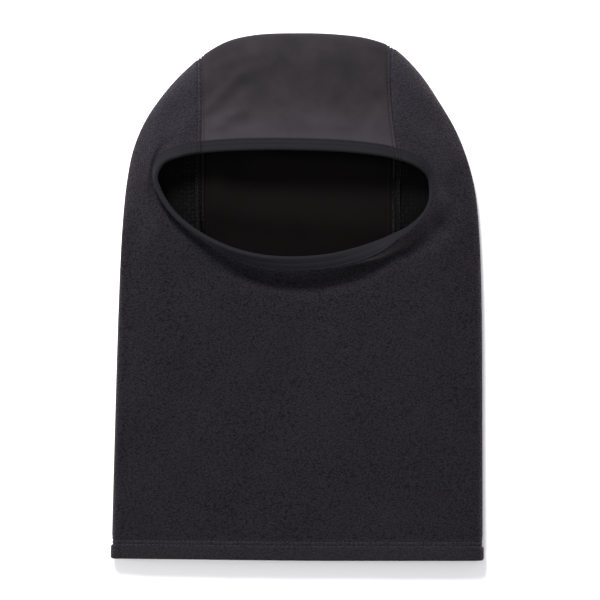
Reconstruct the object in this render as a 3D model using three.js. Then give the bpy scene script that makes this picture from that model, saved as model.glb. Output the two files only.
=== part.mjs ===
// A lightweight fleece balaclava, lying flat on its back on a table with the face opening up.
// Millimetres. +Z is up (the front of the hood), +Y runs from the neck hem to the crown, +X is the
// wearer's left when the hood is seen from the front.
import * as THREE from "three";

// ---- Driving dimensions ----------------------------------------------------------------------
const FLEECE = 2.2; // thickness of the fleece
const STRETCH = 1.1; // thickness of the smooth stretch cloth of the crown strip
const HEM_DEPTH = 15; // depth of the turned hem
const HEM_FLEECE = 4.0; // fleece turned once inside the hem
const HEM_STRETCH = 2.2; // stretch cloth turned once inside the hem
const HEM_NEEDLES = [13.3, 10.4]; // the two needle rows, measured up from the hem's edge
const SEAM_GAP = 0.5; // clearance between the fleece edge and the strip edge in a seam
const SEAM_SIDE = 2.5; // a needle row runs this far on each side of a seam
const OVERLOCK = 6; // width of the overlocked seam allowance inside
const BINDING = 8.6; // visible width of the folded binding round the face opening
const BINDING_CLOTH = 0.8; // thickness of one leg of the binding
const CLEAR = 0.3; // clearance between pieces that lie on one another
const THREAD = 0.22; // radius of the sewing threads
const NECK_TOP = -30; // height on Y where the plain neck tube ends and the hood begins
const NECK_HEIGHT = 15.5; // height of the neck tube as it lies on the table
const HOOD_RISE = 15; // how much higher the hood lies at the crown
const BACK_SEAM_X = [-67.5, 69]; // the two seams down the back

// The flat outline from the lower left corner over the crown to the lower right corner.
const OUTLINE = [
  [-133.9, -186.6], [-133.4, -160], [-131.6, -92], [-129, -8], [-126.4, 48], [-122.8, 84],
  [-118, 107], [-109, 128], [-94.5, 148.6], [-81, 163], [-66, 175.5], [-50, 184.3], [-30, 188.8],
  [0, 190], [28, 189.2], [52, 186], [70, 179], [88, 161.8], [102, 141.6], [114.6, 120],
  [123.2, 98], [128.4, 77], [131.4, 48], [133.3, -8], [133.8, -92], [133.9, -160], [133.9, -189.4],
];

// The cut edge of the face opening, clockwise from the middle of the forehead seen from above:
// x, y, height, and how steeply (degrees) the bound edge falls away outwards.
const OPENING = [
  [0, 106.3, 28.5, 8], [40, 104.6, 28.5, 10], [72, 100.2, 27.5, 14], [90, 92, 26, 25],
  [97.4, 79, 25, 42], [93, 62, 26, 56], [77, 47, 28, 55], [50, 35, 30, 36], [25, 28, 31, 24],
  [0, 26, 31, 22], [-27, 27.2, 30.5, 34], [-50, 32.5, 29, 52], [-71, 42.5, 27, 60],
  [-88, 57, 24.5, 58], [-99, 74, 22.5, 45], [-100.5, 88, 22.5, 30], [-92, 99.5, 24.5, 18],
  [-70, 104.6, 27, 10], [-36, 106.4, 28.5, 8],
];
const SEAM_AT_BINDING = [-68.5, 73.5]; // where the front seams meet the binding
const SEAM_AT_CROWN = [-69.8, 67.4]; // where they cross the crown fold
const SEAM_BOW = [0.6, -2.4]; // how far the front seams bow sideways

// Steps across the mesh.
const STRIP_STEPS = [0, 0.018, 0.045, 0.15, 0.27, 0.385, 0.5, 0.615, 0.73, 0.85, 0.955, 0.982, 1];
const SIDE_STEPS = 10;
const NECK_STEPS = [0, 0.001, 0.0035, 0.0085, 0.016, 0.03, 0.11, 0.2, 0.3, 0.4, 0.5];
const FOLD_STEPS = [0, 0.03, 0.12, 0.28, 0.55, 1]; // share of the fold's radius
const NECK_ROWS = [158, 128, 98, 68, 42, 24, 16.2, 15, 13.3, 11.85, 10.4, 8.4, 1.4, 0];

// ---- Curves ----------------------------------------------------------------------------------
const lerp = (a, b, t) => a + (b - a) * t;
const clamp01 = (t) => Math.min(1, Math.max(0, t));
const smooth = (a, b, v) => {
  const t = clamp01((v - a) / (b - a));
  return t * t * (3 - 2 * t);
};

function spline(points, closed, steps) {
  const curve = new THREE.CatmullRomCurve3(
    points.map(([x, y]) => new THREE.Vector3(x, y, 0)), closed, "centripetal",
  );
  return curve.getSpacedPoints(steps).map((p) => [p.x, p.y]);
}

const outline = spline(OUTLINE, false, 900);
const opening = spline(OPENING, true, 900).slice(0, 900);

// The point a share t of the way along a polyline between two of its stations.
function along(line, from, to, t) {
  const at = lerp(from, to, t);
  const n = line.length;
  const i = Math.floor(at);
  const a = line[((i % n) + n) % n];
  const b = line[(((i + 1) % n) + n) % n];
  return [lerp(a[0], b[0], at - i), lerp(a[1], b[1], at - i)];
}

// The station of a polyline that lies closest to a point.
function station(line, x, y) {
  let best = 0;
  line.forEach((p, i) => {
    if (Math.hypot(p[0] - x, p[1] - y) < Math.hypot(line[best][0] - x, line[best][1] - y)) best = i;
  });
  return best;
}

function foldDistance(x, y) {
  let best = 1e9;
  for (let i = 0; i < outline.length; i += 3) {
    best = Math.min(best, Math.hypot(outline[i][0] - x, outline[i][1] - y));
  }
  const neck = y < NECK_TOP ? Math.min(x - sideX(-1, y), sideX(1, y) - x) : best;
  return Math.max(0, Math.min(best, neck));
}

// The outline's x at a height on the neck's left (-1) or right (1).
function sideX(side, y) {
  const half = side < 0 ? outline.slice(0, 450) : outline.slice(450).reverse();
  for (let i = 1; i < half.length; i += 1) {
    if (half[i][1] >= y) {
      const t = (y - half[i - 1][1]) / (half[i][1] - half[i - 1][1]);
      return lerp(half[i - 1][0], half[i][0], clamp01(t));
    }
  }
  return half[half.length - 1][0];
}

// ---- The height of the cloth as it lies --------------------------------------------------------
const foldRadius = (y) => 8 + 5 * smooth(40, 120, y) + 11 * smooth(130, 188, y);

function plateau(x, y) {
  const hood = smooth(-15, 105, y) * (HOOD_RISE - 3 * (x / 125) ** 2);
  const valley = 3.6 * Math.exp(-(((y - 4) / 15) ** 2)) * smooth(120, 70, Math.abs(x));
  const corners = 1.4 * (x / 135) ** 4 * smooth(-120, -185, y);
  return NECK_HEIGHT + hood - valley + corners;
}

function frontHeight(x, y) {
  const u = clamp01(foldDistance(x, y) / foldRadius(y));
  return plateau(x, y) * (0.45 + 0.55 * Math.sqrt(1 - (1 - u) ** 2));
}

function backHeight(x, y) {
  const u = clamp01(foldDistance(x, y) / Math.min(foldRadius(y), 13));
  return plateau(x, y) * 0.45 * (1 - Math.sqrt(1 - (1 - u) ** 2));
}

// ---- One shared surface mesh -------------------------------------------------------------------
const verts = []; // { p: Vector3, groove: how far it is drawn in by stitching, hem: 0 or 1 }
const add = (x, y, z, groove = 0, hem = 0) => verts.push({
  p: new THREE.Vector3(x, y, z), groove, hem,
}) - 1;

// Stations on the outline and the opening for every column of the hood's front, clockwise from
// just left of the left crown seam.
function columns() {
  const list = [];
  const crown = SEAM_AT_CROWN.map((x) => {
    const y = outline.find((p) => p[1] > 150 && p[0] >= x)[1];
    return station(outline, x, y);
  });
  const brow = SEAM_AT_BINDING.map((x) => station(opening, x, 104));
  const step = (line, closed) => {
    const [a, b] = [line[10], line[11]];
    return Math.hypot(a[0] - b[0], a[1] - b[1]);
  };
  const mmOut = step(outline);
  const mmIn = step(opening);
  const browL = brow[0] - 900;
  const push = (o, i, groove, bow) => list.push({
    out: along(outline, o, o, 0), inn: along(opening, i, i, 0), groove, bow,
  });
  push(crown[0] - OVERLOCK / mmOut, browL - OVERLOCK / mmIn, 0, SEAM_BOW[0] * 0.9);
  push(crown[0] - SEAM_SIDE / mmOut, browL - SEAM_SIDE / mmIn, 1, SEAM_BOW[0]);
  STRIP_STEPS.forEach((t, k) => {
    const n = STRIP_STEPS.length - 1;
    const groove = k === 0 || k === n ? 1.15 : k === 1 || k === n - 1 ? 1 : 0;
    push(lerp(crown[0], crown[1], t), lerp(browL, brow[1], t), groove,
      lerp(SEAM_BOW[0], SEAM_BOW[1], t));
  });
  push(crown[1] + SEAM_SIDE / mmOut, brow[1] + SEAM_SIDE / mmIn, 1, SEAM_BOW[1]);
  push(crown[1] + OVERLOCK / mmOut, brow[1] + OVERLOCK / mmIn, 0, SEAM_BOW[1] * 0.9);
  const crownCount = list.length;
  // Right side down to the neck, across the neck, and up the left side.
  const neckR = 450 + station(outline.slice(450), sideX(1, NECK_TOP), NECK_TOP);
  const neckL = station(outline.slice(0, 450), sideX(-1, NECK_TOP), NECK_TOP);
  const lowR = station(opening, 80, 49);
  const lowL = station(opening, -82, 51);
  const rightFrom = crown[1] + OVERLOCK / mmOut;
  const rightIn = brow[1] + OVERLOCK / mmIn;
  for (let k = 1; k <= SIDE_STEPS; k += 1) {
    const t = k / SIDE_STEPS;
    push(lerp(rightFrom, neckR, t), lerp(rightIn, lowR, t), 0, SEAM_BOW[1] * (1 - t) ** 3);
  }
  const half = NECK_STEPS.length - 1;
  const steps = [...NECK_STEPS, ...NECK_STEPS.slice(0, half).reverse().map((t) => 1 - t)];
  for (let k = 1; k < steps.length; k += 1) {
    const t = k / (steps.length - 1);
    list.push({
      out: [lerp(sideX(1, NECK_TOP), sideX(-1, NECK_TOP), steps[k]), NECK_TOP],
      inn: along(opening, lowR, lowL, t), groove: 0, bow: 0,
    });
  }
  const leftTo = crown[0] - OVERLOCK / mmOut;
  const leftIn = brow[0] - OVERLOCK / mmIn;
  for (let k = 1; k < SIDE_STEPS; k += 1) {
    const t = k / SIDE_STEPS;
    push(lerp(neckL, leftTo, t), lerp(lowL, leftIn, t), 0, SEAM_BOW[0] * t ** 3);
  }
  return { list, crownCount, neckSteps: steps };
}
const { list: COLUMNS, crownCount: CROWN, neckSteps } = columns();
const N = COLUMNS.length;
const NECK_FROM = CROWN - 1 + SIDE_STEPS; // the column at the neck's right corner
const NECK_TO = NECK_FROM + neckSteps.length - 1; // the column at its left corner

// Height and steepness of the bound edge at a point of the opening.
function edgeAt([x, y]) {
  let sum = 0;
  let z = 0;
  let tilt = 0;
  OPENING.forEach((c) => {
    const w = 1 / (Math.hypot(c[0] - x, c[1] - y) ** 4 + 4);
    sum += w;
    z += w * c[2];
    tilt += w * c[3];
  });
  return { z: z / sum, tilt: THREE.MathUtils.degToRad(tilt / sum) };
}

const BAND = BINDING + 1; // the bound edge is straight this far down the cloth

// front[c][r]: column c from the opening's edge (r = 0) out to the fold.
const front = COLUMNS.map((col, c) => {
  const [x0, y0] = col.inn;
  const [x1, y1] = col.out;
  const length = Math.hypot(x1 - x0, y1 - y0);
  const onNeck = c > NECK_FROM && c < NECK_TO;
  const radius = onNeck ? 18 : foldRadius(y1);
  const edge = edgeAt(col.inn);
  const band = BAND * Math.cos(edge.tilt);
  const bandZ = edge.z - BAND * Math.sin(edge.tilt);
  const room = length - band - radius;
  const levels = [0, band, band + Math.min(1.8, 0.12 * room), band + Math.min(4.4, 0.28 * room),
    band + Math.min(8.5, 0.5 * room), band + Math.max(0.75 * room, Math.min(16, 0.7 * room))];
  FOLD_STEPS.slice().reverse().forEach((u) => levels.push(length - radius * u));
  return levels.map((q, r) => {
    const t = q / length;
    const bow = col.bow * 4 * t * (1 - t);
    const x = lerp(x0, x1, t) + bow;
    const y = lerp(y0, y1, t);
    const rest = frontHeight(x, y);
    const z = r === 0 ? edge.z : r === 1 ? bandZ
      : lerp(lerp(bandZ, rest, 0.08), rest, smooth(band, band + Math.min(7.5, 0.6 * room), q));
    return add(x, y, z, r > 1 ? col.groove : 0);
  });
});
const RINGS = front[0].length;
const fold = (c) => front[(c + N) % N][RINGS - 1];

// The plain neck tube. neckFront[row] runs from the right fold to the left fold.
const hemY = (x) => -188.6 - 1.4 * smooth(-130, 30, x);
const rowY = (x, dist) => hemY(x) + (dist * (NECK_TOP - hemY(x))) / NECK_ROWS[0];
function rowStyle(dist) {
  const needle = HEM_NEEDLES.some((h) => Math.abs(h - dist) < 0.01);
  const between = dist > HEM_NEEDLES[1] && dist < HEM_NEEDLES[0];
  return {
    groove: needle ? 1 : between ? 0.55 : dist === 0 ? 0.8 : 0,
    hem: dist === 0 ? 0.6 : dist < HEM_DEPTH ? 1 : 0,
    bulge: dist < 10 ? 1 : needle ? -0.2 : 0,
  };
}
function rowX(side, dist) {
  const y = rowY(side * 134, dist);
  return sideX(side, y) + side * rowStyle(dist).bulge * 0.8;
}

const neckFront = NECK_ROWS.map((dist, i) => neckSteps.map((t, k) => {
  if (i === 0) return front[(NECK_FROM + k) % N][RINGS - 1];
  const style = rowStyle(dist);
  const x = lerp(rowX(1, dist), rowX(-1, dist), t);
  const y = rowY(x, dist);
  const u = Math.min(x - rowX(-1, dist), rowX(1, dist) - x) / 8;
  const z = plateau(x, y) * (0.45 + 0.55 * Math.sqrt(1 - (1 - clamp01(u)) ** 2));
  return add(x, y, z, style.groove, style.hem);
}));

// The back. A row runs left to right: fold, left flap, left seam, strip, right seam, right flap,
// fold. Rows of the hood start on the side columns, and rows of the neck on the neck tube.
const FLAP = [...FOLD_STEPS.slice(1), 0]; // the last entry stands for the half-way point
const sideOffsets = [-OVERLOCK, -SEAM_SIDE];
function backRow(left, right, yOf, style) {
  const pl = verts[left].p;
  const pr = verts[right].p;
  const ribbon = [
    ...sideOffsets.map((d) => [BACK_SEAM_X[0] + d, d === -SEAM_SIDE ? 1 : 0]),
    ...STRIP_STEPS.map((t, k) => {
      const n = STRIP_STEPS.length - 1;
      const g = k === 0 || k === n ? 1.15 : k === 1 || k === n - 1 ? 1 : 0;
      return [lerp(BACK_SEAM_X[0], BACK_SEAM_X[1], t), g];
    }),
    [BACK_SEAM_X[1] + SEAM_SIDE, 1], [BACK_SEAM_X[1] + OVERLOCK, 0],
  ];
  const put = (x, groove) => {
    const y = yOf(x);
    const u = clamp01(Math.min(x - pl.x, pr.x - x) / 8);
    const neck = plateau(x, y) * 0.45 * (1 - Math.sqrt(1 - (1 - u) ** 2));
    const z = style ? neck : backHeight(x, y);
    const drawn = style ? Math.max(style.groove, groove) : groove;
    return add(x, y, z, drawn, style ? style.hem : 0);
  };
  const flap = (foldX, inX) => {
    const room = Math.abs(inX - foldX);
    const radius = Math.min(style ? 8 : 13, room * 0.6);
    const sign = Math.sign(inX - foldX);
    const xs = FOLD_STEPS.slice(1).map((u) => foldX + sign * radius * u);
    xs.push(lerp(xs[xs.length - 1], inX, 0.5));
    return xs.map((x) => put(x, 0));
  };
  const leftFlap = flap(pl.x, ribbon[0][0]);
  const rightFlap = flap(pr.x, ribbon[ribbon.length - 1][0]).reverse();
  return [left, ...leftFlap, ...ribbon.map(([x, g]) => put(x, g)), ...rightFlap, right];
}

const back = [];
const LEFT_FLAP = FOLD_STEPS.length + 1; // entries of a row before its first ribbon entry
const ribbonCount = CROWN;
// The first row of the hood's back touches the folds at the two outermost crown columns.
{
  const a = verts[fold(0)].p;
  const b = verts[fold(CROWN - 1)].p;
  const yOf = (x) => lerp(a.y, b.y, (x - a.x) / (b.x - a.x));
  const top = [];
  for (let k = 0; k < ribbonCount; k += 1) {
    if (k === 0) top.push(fold(0));
    else if (k === ribbonCount - 1) top.push(fold(CROWN - 1));
    else {
      const rim = verts[fold(k)].p;
      const x = rim.x;
      top.push(add(x, yOf(x), backHeight(x, yOf(x)), COLUMNS[k].groove));
    }
  }
  back.push({ cap: top });
}
for (let i = 1; i <= SIDE_STEPS; i += 1) {
  const left = fold(N - i);
  const right = fold(CROWN - 1 + i);
  const [a, b] = [verts[left].p, verts[right].p];
  const yOf = (x) => lerp(a.y, b.y, clamp01((x - a.x) / (b.x - a.x)));
  back.push({ row: backRow(left, right, yOf, null) });
}
for (let i = 1; i < NECK_ROWS.length; i += 1) {
  const dist = NECK_ROWS[i];
  const row = neckFront[i];
  back.push({
    row: backRow(row[row.length - 1], row[0], (x) => rowY(x, dist), rowStyle(dist)), dist,
  });
}
// The cap of the hood's back, between the crown fold and the first full row.
const cap = FOLD_STEPS.map((u, k) => back[0].cap.map((low, c) => {
  if (k === 0) return fold(c);
  if (k === FOLD_STEPS.length - 1 || c === 0 || c === ribbonCount - 1) {
    return k === FOLD_STEPS.length - 1 ? low : fold(c);
  }
  const [a, b] = [verts[fold(c)].p, verts[low].p];
  const x = lerp(a.x, b.x, u);
  const y = lerp(a.y, b.y, u);
  return add(x, y, backHeight(x, y), COLUMNS[c].groove);
}));

// ---- Quads of every cloth piece ------------------------------------------------------------------
const quads = { fleece: [], strip: [], bandL: [], bandR: [] };
const quad = (set, a, b, c, d) => quads[set].push([a, b, c, d]);
const SEAM_L = 2; // crown columns of the two seams
const SEAM_R = CROWN - 3;
const pieceOf = (k) => (k >= SEAM_L && k < SEAM_R ? "strip" : "fleece");

for (let c = 0; c < N; c += 1) {
  const next = (c + 1) % N;
  const set = c < CROWN - 1 ? pieceOf(c) : "fleece";
  for (let r = 0; r < RINGS - 1; r += 1) {
    quad(set, front[c][r], front[c][r + 1], front[next][r + 1], front[next][r]);
    if (r >= 2 && c < SEAM_L) {
      quad("bandL", front[c][r], front[c][r + 1], front[next][r + 1], front[next][r]);
    }
    if (r >= 2 && c >= SEAM_R && c < CROWN - 1) {
      quad("bandR", front[c][r], front[c][r + 1], front[next][r + 1], front[next][r]);
    }
  }
}
for (let i = 0; i < NECK_ROWS.length - 1; i += 1) {
  for (let k = 0; k < neckSteps.length - 1; k += 1) {
    quad("fleece", neckFront[i][k], neckFront[i + 1][k], neckFront[i + 1][k + 1],
      neckFront[i][k + 1]);
  }
}
const bandOf = (k) => (k < SEAM_L ? "bandL" : k >= SEAM_R ? "bandR" : null);
for (let k = 0; k < FOLD_STEPS.length - 1; k += 1) {
  for (let c = 0; c < CROWN - 1; c += 1) {
    quad(pieceOf(c), cap[k][c], cap[k + 1][c], cap[k + 1][c + 1], cap[k][c + 1]);
    if (bandOf(c)) {
      quad(bandOf(c), cap[k][c], cap[k + 1][c], cap[k + 1][c + 1], cap[k][c + 1]);
    }
  }
}
// The first row of the back: flaps shrink to the outermost crown columns.
{
  const top = back[0].cap;
  const low = back[1].row;
  const lastRibbon = LEFT_FLAP + ribbonCount - 1;
  for (let k = 0; k < LEFT_FLAP; k += 1) quad("fleece", top[0], low[k], low[k + 1], top[0]);
  for (let k = 0; k < ribbonCount - 1; k += 1) {
    const q = [top[k], low[LEFT_FLAP + k], low[LEFT_FLAP + k + 1], top[k + 1]];
    quad(pieceOf(k), ...q);
    if (bandOf(k)) quad(bandOf(k), ...q);
  }
  for (let k = lastRibbon; k < low.length - 1; k += 1) {
    quad("fleece", top[ribbonCount - 1], low[k], low[k + 1], top[ribbonCount - 1]);
  }
}
for (let i = 1; i < back.length - 1; i += 1) {
  const [up, low] = [back[i].row, back[i + 1].row];
  const banded = !(back[i + 1].dist < HEM_DEPTH + 0.5);
  for (let k = 0; k < up.length - 1; k += 1) {
    const inRibbon = k >= LEFT_FLAP && k < LEFT_FLAP + ribbonCount - 1;
    const c = k - LEFT_FLAP;
    quad(inRibbon ? pieceOf(c) : "fleece", up[k], low[k], low[k + 1], up[k + 1]);
    if (inRibbon && banded && bandOf(c)) {
      quad(bandOf(c), up[k], low[k], low[k + 1], up[k + 1]);
    }
  }
}

// ---- Normals of the whole surface, then the stitched grooves ---------------------------------------
function triangles(list) {
  const out = [];
  list.forEach(([a, b, c, d]) => {
    if (a !== b && b !== c && a !== c) out.push([a, c, b]);
    if (a !== c && c !== d && a !== d) out.push([a, d, c]);
  });
  return out;
}
verts.forEach((v) => { v.n = new THREE.Vector3(); });
triangles([...quads.fleece, ...quads.strip]).forEach(([a, b, c]) => {
  const [p, q, r] = [verts[a].p, verts[b].p, verts[c].p];
  const n = new THREE.Vector3().crossVectors(q.clone().sub(p), r.clone().sub(p)).normalize();
  [[a, p, q, r], [b, q, r, p], [c, r, p, q]].forEach(([i, o, u, w]) => {
    verts[i].n.addScaledVector(n, u.clone().sub(o).angleTo(w.clone().sub(o)));
  });
});
verts.forEach((v) => {
  v.n.normalize();
  v.skin = v.p.clone().addScaledVector(v.n, -0.9 * v.groove);
});

// ---- Solids ------------------------------------------------------------------------------------------
const group = new THREE.Group();
const matte = new THREE.MeshStandardMaterial({ color: 0x2a282c, roughness: 0.95 });

function mesh(name, points, faces) {
  const geometry = new THREE.BufferGeometry();
  const flat = [];
  points.forEach((p) => flat.push(p.x, p.y, p.z));
  geometry.setAttribute("position", new THREE.Float32BufferAttribute(flat, 3));
  geometry.setIndex(faces.flat());
  geometry.computeVertexNormals();
  const made = new THREE.Mesh(geometry, matte);
  made.name = name;
  group.add(made);
}

// Cloth between two depths below the shared surface. trim shifts the edge vertices of a seam
// towards the piece's own side, which leaves the clearance between its two edges.
function cloth(name, set, depthOf, trim) {
  const tris = triangles(quads[set]);
  const used = [...new Set(tris.flat())];
  const place = new Map(used.map((v, i) => [v, i]));
  const count = used.length;
  const shift = used.map(() => new THREE.Vector3());
  if (trim) {
    quads[set].forEach((q) => q.forEach((v, i) => {
      if (!trim.has(v)) return;
      [q[(i + 1) % 4], q[(i + 3) % 4]].forEach((w) => {
        if (trim.has(w)) return;
        shift[place.get(v)].add(verts[w].skin.clone().sub(verts[v].skin).normalize());
      });
    }));
  }
  const outer = [];
  const inner = [];
  used.forEach((v, i) => {
    const at = verts[v];
    const [top, bottom] = depthOf(at);
    const move = shift[i].lengthSq() > 0 ? shift[i].normalize().multiplyScalar(SEAM_GAP / 2)
      : shift[i];
    outer.push(at.skin.clone().addScaledVector(at.n, -top).add(move));
    inner.push(at.skin.clone().addScaledVector(at.n, -bottom).add(move));
  });
  const faces = [];
  const edges = new Map();
  tris.forEach((t) => {
    const [a, b, c] = t.map((v) => place.get(v));
    faces.push([a, b, c], [a + count, c + count, b + count]);
    [[a, b], [b, c], [c, a]].forEach(([i, j]) => {
      if (edges.has(`${j},${i}`)) edges.delete(`${j},${i}`);
      else edges.set(`${i},${j}`, [i, j]);
    });
  });
  edges.forEach(([i, j]) => faces.push([i, i + count, j + count], [i, j + count, j]));
  mesh(name, [...outer, ...inner], faces);
}

// Everything on the two seam lines, front, crown and back.
const seams = [SEAM_L, SEAM_R].map((c) => {
  const line = front[c].slice();
  cap.slice(1).forEach((row) => line.push(row[c]));
  back.slice(1).forEach(({ row }) => line.push(row[LEFT_FLAP + c]));
  return line;
});
const onSeam = new Set(seams.flat());
const hemDepth = (v, plain, turned) => [0, lerp(plain, turned, v.hem)];
cloth("fleece_body", "fleece", (v) => hemDepth(v, FLEECE, HEM_FLEECE), onSeam);
cloth("crown_strip", "strip", (v) => hemDepth(v, STRETCH, HEM_STRETCH), onSeam);
const allowance = (v) => {
  const depth = FLEECE + 2 * CLEAR + 0.6 * (1 - Math.abs(v.n.z));
  return [depth, depth + 0.7];
};
cloth("left_seam_overlock", "bandL", allowance, null);
cloth("right_seam_overlock", "bandR", allowance, null);

// A closed or open run of one cross-section, one ring of points a station. turned(k) says which
// strips of the section are split along their other diagonal.
function sweep(name, rings, closed, turned) {
  const m = rings[0].length;
  const points = rings.flat();
  const faces = [];
  const last = closed ? rings.length : rings.length - 1;
  for (let i = 0; i < last; i += 1) {
    const j = (i + 1) % rings.length;
    for (let k = 0; k < m; k += 1) {
      const l = (k + 1) % m;
      const [a, b, c, d] = [i * m + k, j * m + k, j * m + l, i * m + l];
      if (turned && turned(k)) faces.push([a, b, d], [b, c, d]);
      else faces.push([a, b, c], [a, c, d]);
    }
  }
  if (!closed) {
    const end = (rings.length - 1) * m;
    for (let k = 1; k < m - 1; k += 1) {
      faces.push([0, k, k + 1], [end, end + k + 1, end + k]);
    }
  }
  mesh(name, points, faces);
}

// A thread laid on the cloth along a list of { p, n } stations.
function thread(name, stations, closed) {
  const n = stations.length;
  const rings = stations.map((s, i) => {
    const before = stations[closed ? (i + n - 1) % n : Math.max(0, i - 1)].p;
    const after = stations[closed ? (i + 1) % n : Math.min(n - 1, i + 1)].p;
    const t = after.clone().sub(before).normalize();
    const side = new THREE.Vector3().crossVectors(s.n, t).normalize();
    const up = new THREE.Vector3().crossVectors(t, side).normalize();
    return [0, 1, 2, 3].map((k) => {
      const a = (-k * Math.PI) / 2;
      return s.p.clone().addScaledVector(side, Math.cos(a) * THREAD)
        .addScaledVector(up, Math.sin(a) * THREAD);
    });
  });
  sweep(name, rings, closed);
}

// ---- Seam needle threads ---------------------------------------------------------------------------
const laid = (v, depth) => ({
  p: verts[v].skin.clone().addScaledVector(verts[v].n, -depth), n: verts[v].n,
});
const over = (v) => -(0.34 + THREAD + 0.3 * (1 - Math.abs(verts[v].n.z)));
function seamThread(name, c) {
  const line = front[c].slice(2);
  cap.slice(1).forEach((row) => line.push(row[c]));
  back.slice(1).forEach(({ row, dist }) => {
    if (dist === undefined || dist > HEM_DEPTH + 1) line.push(row[LEFT_FLAP + c]);
  });
  thread(name, line.map((v) => laid(v, over(v))), false);
}
seamThread("left_seam_thread_fleece_side", SEAM_L - 1);
seamThread("left_seam_thread_strip_side", SEAM_L + 1);
seamThread("right_seam_thread_strip_side", SEAM_R - 1);
seamThread("right_seam_thread_fleece_side", SEAM_R + 1);

// ---- Hem threads -----------------------------------------------------------------------------------
function hemLoop(dist) {
  const i = NECK_ROWS.indexOf(dist);
  const backRowOf = back.find((b) => b.dist === dist).row;
  return [...neckFront[i], ...backRowOf.slice(1, -1)];
}
HEM_NEEDLES.forEach((dist, k) => {
  const name = k === 0 ? "hem_thread_upper" : "hem_thread_lower";
  thread(name, hemLoop(dist).map((v) => laid(v, over(v))), true);
});
const stripNear = (v) => Math.abs(verts[v].p.x - (BACK_SEAM_X[0] + BACK_SEAM_X[1]) / 2)
  < (BACK_SEAM_X[1] - BACK_SEAM_X[0]) / 2 - 4 && verts[v].p.z < 3;
thread("hem_looper_thread", hemLoop(11.85).map((v) => {
  const depth = stripNear(v) ? HEM_STRETCH : HEM_FLEECE;
  return laid(v, depth + CLEAR + THREAD);
}), true);

// ---- The folded binding round the face opening -------------------------------------------------------
// Section stations across the edge: a runs out over the cloth, b stands off its face.
const edgeFrames = front.map((col, c) => {
  const next = front[(c + 1) % N][0];
  const prev = front[(c + N - 1) % N][0];
  const p = verts[col[0]].skin;
  const e = verts[col[1]].skin.clone().sub(p).normalize();
  const t = verts[next].skin.clone().sub(verts[prev].skin).normalize();
  let n = new THREE.Vector3().crossVectors(e, t).normalize();
  if (n.z < 0) n = n.negate();
  return { p, e, n };
});
const at = (f, a, b) => f.p.clone().addScaledVector(f.e, a).addScaledVector(f.n, b);
const above = CLEAR + 0.15;
const under = -(FLEECE + 2 * CLEAR + 0.15);
const LEG = BINDING_CLOTH;
const SECTION = [
  [BINDING - 1.2, above], [-CLEAR, above], [-CLEAR, under], [BINDING - 2.4, under],
  [BINDING - 2.4, under - LEG], [-0.6, under - LEG], [-1.2, under], [-1.2, 0.1],
  [-0.6, above + LEG], [BINDING - 1.2, above + LEG],
];
const inwards = (k) => SECTION[(k + 1) % SECTION.length][0] < SECTION[k][0];
sweep("face_binding", edgeFrames.map((f) => SECTION.map(([a, b]) => at(f, a, b))), true, inwards);
const bindingThread = (name, a, b) => thread(
  name, edgeFrames.map((f) => ({ p: at(f, a, b), n: f.n })), true,
);
bindingThread("binding_needle_thread", BINDING - 2.6, above + LEG + 0.34 + THREAD);
bindingThread("binding_looper_thread", BINDING - 3.8, under - LEG - 0.34 - THREAD);

// ---- Set the part down: centred on the table, underside at Z = 0 ------------------------------------
group.updateMatrixWorld(true);
const box = new THREE.Box3().setFromObject(group, true);
group.children.forEach((m) => {
  m.geometry.translate(
    -(box.min.x + box.max.x) / 2, -(box.min.y + box.max.y) / 2, -box.min.z,
  );
});
export default group;
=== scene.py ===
import math

import bpy
import numpy as np
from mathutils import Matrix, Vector, noise


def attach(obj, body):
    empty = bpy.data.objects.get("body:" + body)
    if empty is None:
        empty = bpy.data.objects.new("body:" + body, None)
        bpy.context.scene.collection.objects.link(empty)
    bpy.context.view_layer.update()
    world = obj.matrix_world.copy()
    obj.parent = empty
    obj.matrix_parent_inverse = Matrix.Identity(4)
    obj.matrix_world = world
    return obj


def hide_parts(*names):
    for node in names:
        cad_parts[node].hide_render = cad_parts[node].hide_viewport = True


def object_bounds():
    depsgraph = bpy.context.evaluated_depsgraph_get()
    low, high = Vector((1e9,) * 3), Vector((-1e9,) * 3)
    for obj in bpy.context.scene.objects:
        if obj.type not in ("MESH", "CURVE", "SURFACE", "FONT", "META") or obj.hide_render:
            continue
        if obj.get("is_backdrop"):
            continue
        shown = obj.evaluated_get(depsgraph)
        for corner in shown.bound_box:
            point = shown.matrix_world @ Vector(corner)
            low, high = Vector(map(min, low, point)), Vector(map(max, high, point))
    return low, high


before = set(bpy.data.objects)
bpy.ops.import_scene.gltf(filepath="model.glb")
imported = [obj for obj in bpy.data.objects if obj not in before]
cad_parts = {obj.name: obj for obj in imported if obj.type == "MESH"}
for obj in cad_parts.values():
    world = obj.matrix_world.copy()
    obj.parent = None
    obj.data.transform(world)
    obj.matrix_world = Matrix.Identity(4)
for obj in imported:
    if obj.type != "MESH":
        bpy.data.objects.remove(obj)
cad_low, cad_high = (list(corner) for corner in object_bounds())


# ---- Fleece body ----------------------------------------------------------------------------
# One cut of brushed fleece, 2.2 mm thick: the front below and beside the face opening, wrapped
# round the two side folds to the seams at the back. Its lower edge is turned up once inside and
# sewn with two needle rows. The hood lies on its back, so the front sags a little on the back.
MM = 0.001
FLEECE_THICK = 2.2
EDGE_THICK = 1.4  # the fleece as its binding presses it
HEM_DEPTH = 15.0
HEM_ROWS = (13.3, 10.4)  # needle rows above the hem's edge
NECK_TOP = -30.0  # where the hood's columns give way to the plain tube of the neck
NECK_HEIGHT = 15.5
HOOD_RISE = 15.0
HALF_WIDTH = 134.0
BACK_SEAMS = (-67.5, 69.0)
BAND = 7.25  # the opening's edge stays straight this far out, under its binding

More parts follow.
